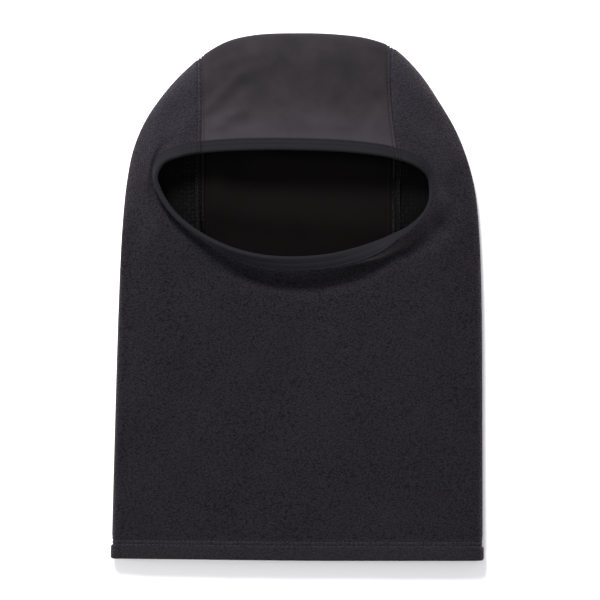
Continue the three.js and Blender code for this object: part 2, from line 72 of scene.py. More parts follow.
# Outline of the hood as it lies, from the lower left corner over the crown to the lower right.
OUTLINE = [
    (-133.9, -186.6), (-133.4, -160), (-131.6, -92), (-129, -8), (-126.4, 48), (-122.8, 84),
    (-118, 107), (-109, 128), (-94.5, 148.6), (-81, 163), (-66, 175.5), (-50, 184.3),
    (-30, 188.8), (0, 190), (28, 189.2), (52, 186), (70, 179), (88, 161.8), (102, 141.6),
    (114.6, 120), (123.2, 98), (128.4, 77), (131.4, 48), (133.3, -8), (133.8, -92),
    (133.9, -160), (133.9, -189.4),
]
# Cut edge of the face opening from the middle of the forehead towards +X: x, y, height, the angle
# at which the bound edge falls away outwards (below zero it is rolled in under the fleece), how
# far beyond the band the cloth comes to rest, and how much more steeply it leaves the band.
OPENING = [
    (0, 106.3, 30.0, 6, 15, 0), (40, 104.6, 29.2, 7, 15, 0), (70, 100.4, 26.6, 8, 16, 0),
    (85, 95.2, 23.2, 6, 18, 0), (91.6, 90.4, 19.8, -12, 18, 14), (94.8, 85.4, 16.8, -36, 17, 44),
    (96, 79, 14.4, -62, 16, 74), (95.6, 69, 13.8, -74, 15, 90), (90.8, 59.6, 14.8, -74, 14, 96),
    (81.2, 50.6, 16.6, -66, 12, 94), (68, 43.6, 18.4, -46, 10, 86), (55, 38, 21.6, -14, 7.5, 72),
    (40, 33, 25.4, 5, 6, 84), (23, 28.9, 27.6, 18, 5.5, 98), (0, 26.8, 29, 27, 5.5, 98),
    (-25, 28, 29, 40, 6.5, 84), (-48, 33.6, 28, 62, 8, 46), (-70, 44.2, 26.4, 82, 11, 8),
    (-87.6, 58, 25, 88, 12, 0), (-98.6, 73.4, 24, 90, 12, 0), (-102, 86, 23.8, 84, 10, 0),
    (-96.6, 96.6, 24.2, 44, 12, 0), (-82, 102.2, 25.8, 12, 14, 0), (-64, 104.8, 27.6, 8, 15, 0),
    (-34, 106.3, 29.4, 6, 15, 0),
]
# Soft creases left by folding and sewing: from, to, depth (below zero it is a ridge), half width.
CREASES = [
    ((-67, 117.6), (-52, 113.8), 1.5, 1.8), ((44, 181), (64, 176), -0.9, 1.6),
    ((46, 177.5), (66, 172), 0.7, 2.0), ((-66, 134), (-40, 160), -0.8, 3.0),
    ((-61, 128), (-36, 152), 0.9, 3.4), ((-66, 123.5), (-38, 133), -0.7, 2.4),
    ((-62, 119.5), (-34, 127), 0.9, 2.6), ((-102, 128), (-101, 100), -1.1, 5.0),
    ((103, 76), (127, 97), 3.4, 7.0), ((60, 22), (94, 38), 1.2, 3.4),
    ((111, 70), (104, 52), 3.6, 9), ((103, 49), (80, 31), 4.8, 8),
    ((40, 114), (66, 150), 0.5, 4.5), ((-112, 30), (-95, 62), -0.9, 6.0),
    ((-60, 160), (-20, 172), 0.6, 4.0), ((-10, 112), (34, 124), -0.5, 4.0),
]
SEAM_AT_BINDING = (-68.5, 73.5)
SEAM_AT_CROWN = (-69.8, 67.4)
SEAM_BOW = (0.6, -2.4)
OUTLINE_STATIONS = 1800
LEFT_HALF = OUTLINE_STATIONS // 2
OPENING_STATIONS = 1200


def ease(low, high, value):
    """Goes smoothly from 0 at low to 1 at high."""
    t = np.clip((value - low) / (high - low), 0.0, 1.0)
    return t * t * (3.0 - 2.0 * t)


def smooth_line(points, closed, count):
    """Evenly spaced points on a curve through the given ones (every column is carried along)."""
    given = np.array(points, float)
    n = len(given)
    samples = []
    for i in range(n if closed else n - 1):
        if closed:
            a, b, c, d = (given[(i + k) % n] for k in (-1, 0, 1, 2))
        else:
            a, b, c, d = (given[min(max(i + k, 0), n - 1)] for k in (-1, 0, 1, 2))
            if i == 0:
                a = 2 * b - c
            if i == n - 2:
                d = 2 * c - b
        # Centripetal knots keep the curve from overshooting.
        t0 = 0.0
        t1 = t0 + max(np.hypot(*(b - a)[:2]), 1e-6) ** 0.5
        t2 = t1 + max(np.hypot(*(c - b)[:2]), 1e-6) ** 0.5
        t3 = t2 + max(np.hypot(*(d - c)[:2]), 1e-6) ** 0.5
        t = np.linspace(t1, t2, 40, endpoint=False)[:, None]
        a1 = (t1 - t) / (t1 - t0) * a + (t - t0) / (t1 - t0) * b
        a2 = (t2 - t) / (t2 - t1) * b + (t - t1) / (t2 - t1) * c
        a3 = (t3 - t) / (t3 - t2) * c + (t - t2) / (t3 - t2) * d
        b1 = (t2 - t) / (t2 - t0) * a1 + (t - t0) / (t2 - t0) * a2
        b2 = (t3 - t) / (t3 - t1) * a2 + (t - t1) / (t3 - t1) * a3
        samples.append((t2 - t) / (t2 - t1) * b1 + (t - t1) / (t2 - t1) * b2)
    line = np.vstack(samples + [given[:1] if closed else given[-1:]])
    run = np.concatenate([[0], np.cumsum(np.hypot(*np.diff(line[:, :2], axis=0).T))])
    at = np.linspace(0, run[-1], count + 1)
    return np.stack([np.interp(at, run, line[:, k]) for k in range(line.shape[1])], axis=1)


outline = smooth_line(OUTLINE, False, OUTLINE_STATIONS)
opening = smooth_line(OPENING, True, OPENING_STATIONS)[:-1]
outline_step = np.hypot(*(outline[11] - outline[10]))
opening_step = np.hypot(*(opening[11] - opening[10])[:2])


def wide_lip(y):
    """The bound edge is pulled broader along the chin than elsewhere."""
    return 1 + 0.26 * ease(46, 32, y)


def side_x(side, y):
    """x of the side fold at a height on Y, side -1 left or 1 right."""
    half = outline[:LEFT_HALF] if side < 0 else outline[LEFT_HALF:][::-1]
    rising = np.maximum.accumulate(half[:, 1])
    return np.interp(y, rising, half[:, 0])


def fold_distance(x, y):
    """Distance from a point to the fold that runs up one side, over the crown and down."""
    a, b = outline[:-3:3], outline[3::3]
    ab = b - a
    out = np.empty(x.shape)
    flat = out.reshape(-1)
    points = np.stack([x.reshape(-1), y.reshape(-1)], axis=1)
    for i in range(0, len(points), 4000):
        ap = points[i:i + 4000, None, :] - a[None]
        t = np.clip((ap * ab).sum(-1) / (ab * ab).sum(-1), 0, 1)
        flat[i:i + 4000] = np.sqrt(((ap - t[..., None] * ab) ** 2).sum(-1)).min(1)
    beside = np.minimum(x - side_x(-1, y), side_x(1, y) - x)
    return np.maximum(0, np.where(y < NECK_TOP, np.minimum(out, beside), out))


def fold_radius(y):
    """How far in from its fold the cloth takes to come level: more towards the crown."""
    return 8 + 5 * ease(40, 120, y) + 11 * ease(130, 188, y)


def plateau(x, y):
    """Height of the front where it lies away from the folds."""
    hood = ease(2, 102, y) * (HOOD_RISE - 13 * (x / 125) ** 2) - 4.5 * ease(98, 165, y)
    under_chin = 11 + 0.0042 * x ** 2
    valley = 8.4 * np.exp(-(((y - under_chin) / 8.6) ** 2)) * ease(84, 26, np.abs(x - 2))
    corners = 1.4 * (x / 135) ** 4 * ease(-120, -185, y)
    return NECK_HEIGHT + hood - valley + corners


def ripple(x, y, size, seed):
    """Slow, shallow unevenness of cloth that has been folded and laid out by hand."""
    flat = [noise.noise(Vector((a / size, b / size, seed)))
            for a, b in zip(np.ravel(x), np.ravel(y))]
    return np.reshape(flat, np.shape(x))


def side_sag(x, y):
    """The front eases down towards both side folds, further on the left."""
    return (4.4 * np.exp(-(x - side_x(-1, y)) / 19) + 2.4 * np.exp(-(side_x(1, y) - x) / 13))


def creases(x, y):
    """Depth of all creases at a place."""
    depth = np.zeros(np.shape(x))
    for (ax, ay), (bx, by), deep, half in CREASES:
        run_x, run_y = bx - ax, by - ay
        t = np.clip(((x - ax) * run_x + (y - ay) * run_y) / (run_x ** 2 + run_y ** 2), 0, 1)
        off = (x - ax - t * run_x) ** 2 + (y - ay - t * run_y) ** 2
        depth = depth + deep * np.exp(-off / half ** 2)
    return depth


def front_height(x, y):
    off_fold = fold_distance(x, y)
    u = np.clip(off_fold / fold_radius(y), 0, 1)
    # Beside the face opening the cloth is held up like a tent by the bound edge.
    tent = ease(0, 45, y) * ease(150, 120, y) * 0.62
    rise = (1 - tent) * np.sqrt(1 - (1 - u) ** 2) + tent * np.clip(off_fold / 27, 0, 1) ** 0.9
    lie = plateau(x, y) * (0.45 + 0.55 * rise)
    loose = ripple(x, y, 62, 3.1) * 1.1 + ripple(x, y, 27, 8.7) * 0.35
    return lie + (loose - creases(x, y) - side_sag(x, y) * ease(70, 20, y)) * u


BACK_FOLD = 13


def back_height(x, y):
    u = np.clip(fold_distance(x, y) / np.minimum(fold_radius(y), BACK_FOLD), 0, 1)
    # Inside, the back is rucked up into three slack folds.
    brow = 7.5 * np.exp(-(((y - 98 + 0.05 * x) / 9) ** 2)) * ease(-44, -14, x) * ease(86, 56, x)
    lower = 5.0 * np.exp(-(((y - 58 + 0.08 * x) / 14) ** 2)) * ease(80, 36, np.abs(x - 8))
    cheek = 5.0 * np.exp(-(((x + 60) / 15) ** 2)) * ease(40, 68, y) * ease(114, 98, y)
    return (plateau(x, y) * 0.45 * (1 - np.sqrt(1 - (1 - u) ** 2))
            + (brow + lower + cheek) * ease(0.5, 1, u))


# Stations across a seam: close together where the cloth dips into it.
SEAM_FAN = np.array([0.12, 0.4, 0.75, 1.1, 1.5, 1.9, 2.3, 2.7, 3.2, 3.9, 4.9, 6.0])


def across_strip(width):
    """Shares of the way from the left seam to the right one."""
    fan = SEAM_FAN / width
    middle = np.linspace(fan[-1], 1 - fan[-1], 46)[1:-1]
    return np.concatenate([[0], fan, middle, 1 - fan[::-1], [1]])


def nearest(line, x, y):
    """The station of a line that lies nearest to a place."""
    return int(np.argmin(np.hypot(line[:, 0] - x, line[:, 1] - y)))


crown_l, crown_r = (
    int(np.argmax((outline[:, 1] > 150) & (outline[:, 0] >= x))) for x in SEAM_AT_CROWN)
brow_l, brow_r = (nearest(opening, x, 103) for x in SEAM_AT_BINDING)
brow_l -= len(opening)
low_r, low_l = nearest(opening, 84, 46), nearest(opening, -82, 51)  # ends of the chin lip
neck_l = nearest(outline[:LEFT_HALF], side_x(-1, NECK_TOP), NECK_TOP)
neck_r = LEFT_HALF + nearest(outline[LEFT_HALF:], side_x(1, NECK_TOP), NECK_TOP)

strip_width = (crown_r - crown_l) * outline_step
strip_shares = across_strip(strip_width)
FAR = 99.0  # a distance at which no seam is felt
columns = []


def column(out, inn, bow, left_seam=FAR, right_seam=FAR):
    """Notes a column's station on the outline and on the opening, its bow, and how far across
    the cloth it lies from either seam."""
    columns.append((out, inn, bow, left_seam, right_seam))


for d in SEAM_FAN[::-1]:
    column(crown_l - d / outline_step, brow_l - d / opening_step, SEAM_BOW[0], -d)
for t in strip_shares:
    column(crown_l + (crown_r - crown_l) * t, brow_l + (brow_r - brow_l) * t,
           SEAM_BOW[0] + (SEAM_BOW[1] - SEAM_BOW[0]) * t, t * strip_width,
           (1 - t) * strip_width)
for d in SEAM_FAN:
    column(crown_r + d / outline_step, brow_r + d / opening_step, SEAM_BOW[1], FAR, -d)
CROWN = len(columns)
SEAM_L = len(SEAM_FAN)
SEAM_R = CROWN - 1 - len(SEAM_FAN)
SIDE = 72  # columns down each side of the hood
right_start, right_open = columns[-1][:2]
for t in np.arange(1, SIDE + 1) / SIDE:
    column(right_start + (neck_r - right_start) * t, right_open + (low_r - right_open) * t,
           SEAM_BOW[1] * (1 - t) ** 3)
NECK_FROM = len(columns) - 1
NECK_WIDTH = 267
fold_fan = np.array([0.0, 0.12, 0.4, 0.9, 1.6, 2.5, 3.6, 5.0, 6.6, 8.4]) / NECK_WIDTH
neck_shares = np.concatenate([fold_fan, np.linspace(fold_fan[-1], 1 - fold_fan[-1], 86)[1:-1],
                              1 - fold_fan[::-1]])
for t in np.linspace(0, 1, len(neck_shares))[1:]:
    column(None, low_r + (low_l - low_r) * t, 0)
NECK_TO = len(columns) - 1
left_end, left_open = columns[0][:2]
for t in np.arange(1, SIDE) / SIDE:
    column(neck_l + (left_end - neck_l) * t,
           low_l + (left_open + OPENING_STATIONS - low_l) * t, SEAM_BOW[0] * t ** 3)
COLUMNS = len(columns)


def at_station(line, s):
    """A closed line's entry at a station, which may fall between two of its points."""
    i = np.floor(s).astype(int)
    f = s - i
    n = len(line)
    return line[i % n] * (1 - f) + line[(i + 1) % n] * f


BAND_STEPS, WALL_STEPS, OPEN_STEPS, FOLD_STEPS = 8, 16, 22, 14  # along one column
fold_shares = 1 - np.cos(np.linspace(0, math.pi / 2, FOLD_STEPS + 1))
NECK_COLUMN_FOLD = 18.0  # the columns that end on the neck close up over this length


def hood_column(c, out, inn, bow):
    """Points of one column of the front, from the edge of the opening to the fold or the neck."""
    edge = at_station(opening, np.float64(inn))
    if out is None:
        share = neck_shares[c - NECK_FROM]
        rim = np.array([side_x(1, NECK_TOP) * (1 - share) + side_x(-1, NECK_TOP) * share,
                        NECK_TOP])
        radius = NECK_COLUMN_FOLD
    else:
        rim = at_station(outline, np.float64(out))
        radius = float(fold_radius(rim[1]))
    length = np.hypot(*(rim - edge[:2]))
    tilt = math.radians(edge[3])
    lip = BAND * wide_lip(edge[1])
    band_q, band_z = lip * math.cos(tilt), edge[2] - lip * math.sin(tilt)
    land = max(band_q, 0) + min(edge[4], 0.62 * (length - radius - max(band_q, 0)))

    def place(q):
        t = q / length
        arch = bow * 4 * t * (1 - t)
        return edge[0] + (rim[0] - edge[0]) * t + arch, edge[1] + (rim[1] - edge[1]) * t

    q_open = np.linspace(land, length - radius, OPEN_STEPS + 1)[1:]
    q_fold = (length - radius * fold_shares)[::-1][1:]
    x_far, y_far = place(np.concatenate([[land, land + 0.5], q_open, q_fold]))
    z_far = front_height(x_far, y_far)
    # The cloth leaves the band along it and swings round to lie on the level part.
    slope = (z_far[1] - z_far[0]) / 0.5
    drop = np.hypot(land - band_q, z_far[0] - band_z)
    pull = 0.55 * min(drop, 14.0) * (1 - 0.7 * max(-tilt, 0) / 1.57)
    leave = tilt + math.radians(edge[5])
    p0, p3 = np.array([band_q, band_z]), np.array([land, z_far[0]])
    p1 = p0 + pull * np.array([math.cos(leave), -math.sin(leave)])
    p2 = p3 - pull * np.array([1.0, slope])
    t = np.linspace(0, 1, WALL_STEPS + 1)[1:, None]
    wall = ((1 - t) ** 3 * p0 + 3 * (1 - t) ** 2 * t * p1 + 3 * (1 - t) * t ** 2 * p2
            + t ** 3 * p3)
    t = np.linspace(0, 1, BAND_STEPS + 1)[:, None]
    band = np.array([0.0, edge[2]]) * (1 - t) + p0 * t
    q_near, z_near = np.concatenate([band, wall]).T
    x_near, y_near = place(q_near)
    return np.stack([np.concatenate([x_near, x_far[2:]]), np.concatenate([y_near, y_far[2:]]),
                     np.concatenate([z_near, z_far[2:]])], axis=1)


# The front's grid: column, place along the column, xyz.
front_grid = np.array([hood_column(c, *entry[:3]) for c, entry in enumerate(columns)])

# The neck tube: rows of the front from the right fold to the left one.
HEM_FAN = [0, 0.3, 0.7, 1.2, 1.9, 2.8, 4, 5.5, 7, 8.2, 9.1, 9.7, 10.1, 10.4, 10.8, 11.3, 11.85,
           12.4, 12.9, 13.3, 13.7, 14.1, 14.6, 15.1, 15.8, 17, 19]
NECK_RUN = 158.0  # from the hem's edge to NECK_TOP
NECK_FOLD = 8  # over which the neck rounds over at its side folds
neck_rows = np.array(sorted([*HEM_FAN, *np.linspace(22, NECK_RUN, 47)], reverse=True))


def hem_y(x):
    """The hem's edge, which lies a little lower on the right."""
    return -188.6 - 1.4 * ease(-130, 30, x)


def row_y(x, dist):
    return hem_y(x) + dist * (NECK_TOP - hem_y(x)) / NECK_RUN


def row_side(side, dist):
    """The side fold at a row: the turned-up hem is thicker and bulges."""
    bulge = 0.85 * ease(10.2, 8.6, dist) - 0.3 * math.exp(-((dist - 12) / 1.8) ** 2)
    return float(side_x(side, row_y(side * HALF_WIDTH, dist))) + side * bulge


neck_grid = []
for dist in neck_rows:
    right, left = row_side(1, dist), row_side(-1, dist)
    x = right * (1 - neck_shares) + left * neck_shares
    y = row_y(x, dist)
    u = np.clip(np.minimum(x - left, right - x) / NECK_FOLD, 0, 1)
    loose = ripple(x, y, 62, 3.1) * 1.1 + ripple(x, y, 27, 8.7) * 0.35
    z = plateau(x, y) * (0.45 + 0.55 * np.sqrt(1 - (1 - u) ** 2)) + (loose - side_sag(x, y)) * u
    neck_grid.append(np.stack([x, y, z], axis=1))
neck_grid = np.array(neck_grid)
neck_grid[0] = front_grid[NECK_FROM:NECK_TO + 1, -1]

# The back, rows from the crown to the hem. Each runs left to right: left flap, the left seam's
# fleece side, the strip, the right seam's fleece side, right flap.
FLAP = 26  # points of the back from a side fold to a seam
back_l, back_r = BACK_SEAMS
back_width = back_r - back_l
back_ribbon = np.concatenate([back_l - SEAM_FAN[::-1],
                              back_l + across_strip(back_width) * back_width,
                              back_r + SEAM_FAN])


def back_row(left, right, y_of, radius_most, neck):
    """One row of the back, between its two points on the side folds."""
    def flap(fold_x, seam_x):
        room = seam_x - fold_x
        radius = min(radius_most, abs(room) * 0.6)
        near = fold_x + np.sign(room) * radius * fold_shares[1:]
        return np.concatenate([near, np.linspace(near[-1], seam_x, FLAP - FOLD_STEPS + 1)[1:-1]])

    x = np.concatenate([[left[0]], flap(left[0], back_ribbon[0]), back_ribbon,
                        flap(right[0], back_ribbon[-1])[::-1], [right[0]]])
    y = y_of(x)
    if neck:
        u = np.clip(np.minimum(x - left[0], right[0] - x) / NECK_FOLD, 0, 1)
        z = plateau(x, y) * 0.45 * (1 - np.sqrt(1 - (1 - u) ** 2))
    else:
        z = back_height(x, y)
    row = np.stack([x, y, z], axis=1)
    row[0], row[-1] = left, right
    return row


back_rows = []
for i in range(1, SIDE + 1):
    left = front_grid[(COLUMNS - i) % COLUMNS, -1]
    right = front_grid[CROWN - 1 + i, -1]
    back_rows.append(back_row(
        left, right,
        lambda x, a=left, b=right: a[1] + (b[1] - a[1]) * (x - a[0]) / (b[0] - a[0]),
        BACK_FOLD, False))
HOOD_ROWS = len(back_rows)
for dist, row in zip(neck_rows[1:], neck_grid[1:]):
    back_rows.append(back_row(row[-1], row[0], lambda x, d=dist: row_y(x, d), NECK_FOLD, True))
back_grid = np.array(back_rows)
BACK_START = FLAP  # ribbon's first entry in a row
cap_fold = front_grid[:CROWN, -1]
cap_share = (cap_fold[:, 0] - cap_fold[0, 0]) / (cap_fold[-1, 0] - cap_fold[0, 0])
cap_low_y = cap_fold[0, 1] + (cap_fold[-1, 1] - cap_fold[0, 1]) * cap_share
cap_grid = []
for u in fold_shares:
    y = cap_fold[:, 1] * (1 - u) + cap_low_y * u
    z = back_height(cap_fold[:, 0], y)
    cap_grid.append(np.stack([cap_fold[:, 0], y, z], axis=1))
cap_grid = np.array(cap_grid)
cap_grid[0] = cap_fold
cap_grid[:, 0], cap_grid[:, -1] = cap_fold[0], cap_fold[-1]

# One numbered list of points for the whole hood. Each has the distances that its stitching
# needs: to either seam line across the cloth, and up from the hem. On the flat cloth the back is
# laid out beside the front, and the crown's fold above it.
NO_HEM = 500.0  # up from the hem, for points that it can't reach
APART = 400  # from the front to the back on the flat cloth
points, to_seam, up_hem, flat_uv = [], [], [], []


def number(grid, seam, hem, uv):
    """Adds a grid's points to the list and returns their numbers."""
    start = sum(len(p) for p in points)
    points.append(grid.reshape(-1, 3))
    to_seam.append(np.broadcast_to(seam, grid.shape[:2]).reshape(-1))
    up_hem.append(np.broadcast_to(hem, grid.shape[:2]).reshape(-1))
    flat_uv.append(uv.reshape(-1, 2))
    return start + np.arange(grid.shape[0] * grid.shape[1]).reshape(grid.shape[:2])


def nearer(a, b):
    return a if abs(a) < abs(b) else b


seam_of_column = np.array([nearer(c[3], c[4]) for c in columns])[:, None]
front_ids = number(front_grid, seam_of_column, NO_HEM, front_grid[..., :2])
neck_ids = number(neck_grid, FAR, neck_rows[:, None], neck_grid[..., :2])
ribbon_seam = np.concatenate([
    -SEAM_FAN[::-1],
    [nearer(s * back_width, (1 - s) * back_width) for s in across_strip(back_width)], -SEAM_FAN])
row_seam = np.concatenate([np.full(FLAP, FAR), ribbon_seam, np.full(FLAP, FAR)])
back_hem = np.concatenate([np.full(HOOD_ROWS, NO_HEM), neck_rows[1:]])[:, None]
back_ids = number(back_grid, row_seam[None], back_hem,
                  np.stack([APART + back_grid[..., 0], back_grid[..., 1]], axis=-1))
cap_ids = number(cap_grid, seam_of_column[:CROWN].T, NO_HEM,
                 np.stack([cap_grid[..., 0], APART - cap_grid[..., 1]], axis=-1))
points = np.concatenate(points)
to_seam = np.concatenate(to_seam)
up_hem = np.concatenate(up_hem)
flat_uv = np.concatenate(flat_uv)

# Points that two grids share become one.
neck_ids[0] = front_ids[NECK_FROM:NECK_TO + 1, -1]
cap_ids[0] = front_ids[:CROWN, -1]
cap_ids[:, 0], cap_ids[:, -1] = front_ids[0, -1], front_ids[CROWN - 1, -1]
for i in range(HOOD_ROWS):
    back_ids[i, 0] = front_ids[(COLUMNS - 1 - i) % COLUMNS, -1]
    back_ids[i, -1] = front_ids[CROWN + i, -1]
for i in range(1, len(neck_rows)):
    back_ids[HOOD_ROWS + i - 1, 0] = neck_ids[i, -1]
    back_ids[HOOD_ROWS + i - 1, -1] = neck_ids[i, 0]


def grid_quads(ids):
    return np.stack([ids[:-1, :-1], ids[:-1, 1:], ids[1:, 1:], ids[1:, :-1]],
                    axis=-1).reshape(-1, 4)


ring = np.vstack([front_ids, front_ids[:1]])
low_cap = cap_ids[-1]
first = back_ids[0]
last_ribbon = BACK_START + CROWN
fans = np.array(
    [(low_cap[0], first[k + 1], first[k], low_cap[0]) for k in range(BACK_START)]
    + [(low_cap[-1], first[k + 1], first[k], low_cap[-1])
       for k in range(last_ribbon - 1, len(first) - 1)])
back_ribbon_ids = np.vstack([low_cap[None], back_ids[:, BACK_START:last_ribbon]])
strip_quads = np.vstack([
    grid_quads(front_ids[SEAM_L:SEAM_R + 1].T), grid_quads(cap_ids[:, SEAM_L:SEAM_R + 1]),
    grid_quads(back_ribbon_ids[:, SEAM_L:SEAM_R + 1])])
fleece_quads = np.vstack([
    grid_quads(ring[:SEAM_L + 1].T), grid_quads(ring[SEAM_R:].T), grid_quads(neck_ids), fans,
    grid_quads(cap_ids[:, :SEAM_L + 1]), grid_quads(cap_ids[:, SEAM_R:]),
    grid_quads(back_ribbon_ids[:, :SEAM_L + 1]), grid_quads(back_ribbon_ids[:, SEAM_R:]),
    grid_quads(back_ids[:, :BACK_START + 1]), grid_quads(back_ids[:, last_ribbon - 1:])])


def unit(arrows, guard=1e-9):
    """Arrows of length one. The guard keeps an arrow of no length from dividing by zero."""
    return arrows / (np.linalg.norm(arrows, axis=1)[:, None] + guard)


def point_normals(at, quads):
    """Unit normal at every point, each face weighted by its corner's angle."""
    normals = np.zeros_like(at)
    for tri in (quads[:, [0, 1, 2]], quads[:, [0, 2, 3]]):
        corner = at[tri]
        face = np.cross(corner[:, 1] - corner[:, 0], corner[:, 2] - corner[:, 0])
        size = np.linalg.norm(face, axis=1)
        keep = size > 1e-9
        corner, face, tri = corner[keep], face[keep] / size[keep, None], tri[keep]
        for k in range(3):
            a = corner[:, (k + 1) % 3] - corner[:, k]
            b = corner[:, (k + 2) % 3] - corner[:, k]
            cos = (a * b).sum(1) / (np.linalg.norm(a, axis=1) * np.linalg.norm(b, axis=1) + 1e-12)
            np.add.at(normals, tri[:, k], face * np.arccos(np.clip(cos, -1, 1))[:, None])
    return unit(normals, 1e-12)


def dip(distance, depth, width):
    """How far sewing draws the cloth in, at a distance from the sewn line."""
    return depth * np.exp(-((distance / width) ** 2))


# Sewing draws the cloth in: at the seam itself, under each needle row, and at the hem's rows.
normals = point_normals(points, np.vstack([fleece_quads, strip_quads]))
SEAM_NEEDLE = 2.3
drawn_in = (dip(to_seam, 1.0, 0.6) + dip(np.abs(to_seam) - SEAM_NEEDLE, 0.75, 0.65)
            + sum(dip(up_hem - row, 0.75, 0.6) for row in HEM_ROWS)
            + dip(up_hem, 0.9, 0.6) + dip(up_hem - HEM_DEPTH - 0.6, 0.25, 0.9))
skin = points - normals * drawn_in[:, None]
skin_normals = point_normals(skin, np.vstack([fleece_quads, strip_quads]))


def link(name, vertices, faces, uv=None):
    """A new mesh object of this hood, smooth shaded, riding its one body."""
    mesh = bpy.data.meshes.new(name)
    mesh.from_pydata(np.asarray(vertices, float).tolist(), [], [list(f) for f in faces])
    mesh.validate()
    if uv is not None:
        layer = mesh.uv_layers.new(name="cloth")
        corner = np.empty(len(mesh.loops), np.int32)
        mesh.loops.foreach_get("vertex_index", corner)
        layer.data.foreach_set("uv", np.asarray(uv, np.float32)[corner].reshape(-1))
    mesh.shade_smooth()
    piece = bpy.data.objects.new(name, mesh)
    bpy.context.collection.objects.link(piece)
    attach(piece, "root")
    return piece


def cloth_piece(name, quads, depth, trim=0.07):
    """Closed cloth of a given depth below the skin. Its seam edge stands back by trim."""
    used, local = np.unique(quads, return_inverse=True)
    local = local.reshape(quads.shape)
    outer, n = skin[used].copy(), skin_normals[used]
    on_seam = np.abs(to_seam[used]) < 1e-6
    centre = np.zeros_like(outer)
    count = np.zeros(len(used))
    for k in range(4):
        for j in (1, 3):
            a, b = local[:, k], local[:, (k + j) % 4]
            move = on_seam[a] & ~on_seam[b]
            np.add.at(centre, a[move], outer[b[move]] - outer[a[move]])
            np.add.at(count, a[move], 1)
    size = np.linalg.norm(centre, axis=1)
    shift = np.where(size[:, None] > 1e-6, centre / (size[:, None] + 1e-9) * trim, 0)
    outer = outer + shift
    inner = outer - n * depth[used][:, None]
    m = len(used)
    faces = [tuple(dict.fromkeys(q)) for q in local.tolist()]
    faces = [f for f in faces if len(f) > 2]
    edges = {}
    for f in faces:
        for a, b in zip(f, f[1:] + f[:1]):
            if (b, a) in edges:
                del edges[(b, a)]
            else:
                edges[(a, b)] = True
    made = list(faces)
    made += [tuple(i + m for i in reversed(f)) for f in faces]
    made += [(b, a, a + m, b + m) for a, b in edges]
    uv = np.vstack([flat_uv[used], flat_uv[used]])
    piece = link(name, np.vstack([outer, inner]) * MM, made, uv * MM)
    # The cloth's inner face is material 1, except where the hem turns its outer face inwards.
    in_hem = up_hem[used] < HEM_DEPTH
    side = [0] * len(faces) + [0 if in_hem[list(f)].all() else 1 for f in faces]
    side += [0] * (len(made) - len(side))
    piece.data.polygons.foreach_set("material_index", side)
    return piece


turned = ease(HEM_DEPTH + 0.3, HEM_DEPTH - 0.3, up_hem)
end_round = ease(1.4, 0.0, up_hem)
fleece_depth = FLEECE_THICK + turned * 1.9 - end_round * 1.7
# The binding presses the fleece, which swells again beyond it.
for k, share in enumerate([1.0] * (BAND_STEPS + 1) + [0.85, 0.6, 0.35, 0.15]):
    fleece_depth[front_ids[:, k]] = FLEECE_THICK + (EDGE_THICK - FLEECE_THICK) * share
fleece = cloth_piece("fleece", fleece_quads, fleece_depth)
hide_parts("fleece_body")


def knit_field(name, **sizes):
    """A node group that turns a place on the cloth into a relief, Height, and a tone, Shade.
    Returned with the sockets of its input node."""
    group = bpy.data.node_groups.new(name, "ShaderNodeTree")
    group.interface.new_socket(name="Vector", in_out="INPUT", socket_type="NodeSocketVector")
    for key, value in sizes.items():
        size = group.interface.new_socket(name=key, in_out="INPUT", socket_type="NodeSocketFloat")
        size.default_value = value
    for key in ("Height", "Shade"):
        group.interface.new_socket(name=key, in_out="OUTPUT", socket_type="NodeSocketFloat")
    return group, group.nodes.new("NodeGroupInput").outputs


def give_out(group, height, shade):
    done = group.nodes.new("NodeGroupOutput")
    group.links.new(height, done.inputs["Height"])
    group.links.new(shade, done.inputs["Shade"])


def lay(tree, kind, values=None, wires=None, **choices):
    """A node in a group or a material, with its choices made, values set and wires joined."""
    made = tree.nodes.new("ShaderNode" + kind)
    for key, choice in choices.items():
        setattr(made, key, choice)
    for key, value in (values or {}).items():
        made.inputs[key].default_value = value
    for key, source in (wires or {}).items():
        tree.links.new(source, made.inputs[key])
    return made


def mixed(tree, a, b, share):
    return lay(tree, "Mix", {"Factor": share}, {"A": a, "B": b}).outputs["Result"]


def paler(tree, place, total, start, end, amount):
    """Adds amount to a shade where the cloth's own Y, in metres, goes from start to end."""
    where = lay(tree, "SeparateXYZ", None, {"Vector": place})
    ramp = lay(tree, "MapRange", {"From Min": start, "From Max": end, "To Max": amount},
               {"Value": where.outputs["Y"]}, interpolation_type="SMOOTHSTEP")
    return lay(tree, "Math", None, {0: total, 1: ramp.outputs["Result"]},
               operation="ADD").outputs["Value"]


# Brushed pile: short clumps that lie mostly across the hood, over slower patches of lie.
pile, given = knit_field("brushed_pile", Clump=820.0, Across=0.72)
drawn_out = lay(pile, "CombineXYZ", {"Y": 1.0, "Z": 1.0}, {"X": given["Across"]})
along = lay(pile, "VectorMath", None, {0: given["Vector"], 1: drawn_out.outputs["Vector"]},
            operation="MULTIPLY").outputs["Vector"]
clumps = lay(pile, "TexNoise", {"Detail": 2.5, "Roughness": 0.62, "Distortion": 0.5},
             {"Vector": along, "Scale": given["Clump"]})
finer = lay(pile, "Math", {1: 1.25}, {0: given["Clump"]}, operation="MULTIPLY")
pebbles = lay(pile, "TexVoronoi", {"Smoothness": 0.6},
              {"Vector": along, "Scale": finer.outputs["Value"]}, feature="SMOOTH_F1")
rise = lay(pile, "MapRange", {"From Max": 0.75, "To Min": 1.0, "To Max": 0.0},
           {"Value": pebbles.outputs["Distance"]})
height = mixed(pile, clumps.outputs["Fac"], rise.outputs["Result"], 0.5)
patches = lay(pile, "TexNoise", {"Scale": 34.0, "Detail": 3.0}, {"Vector": given["Vector"]})
shade = mixed(pile, height, patches.outputs["Fac"], 0.16)
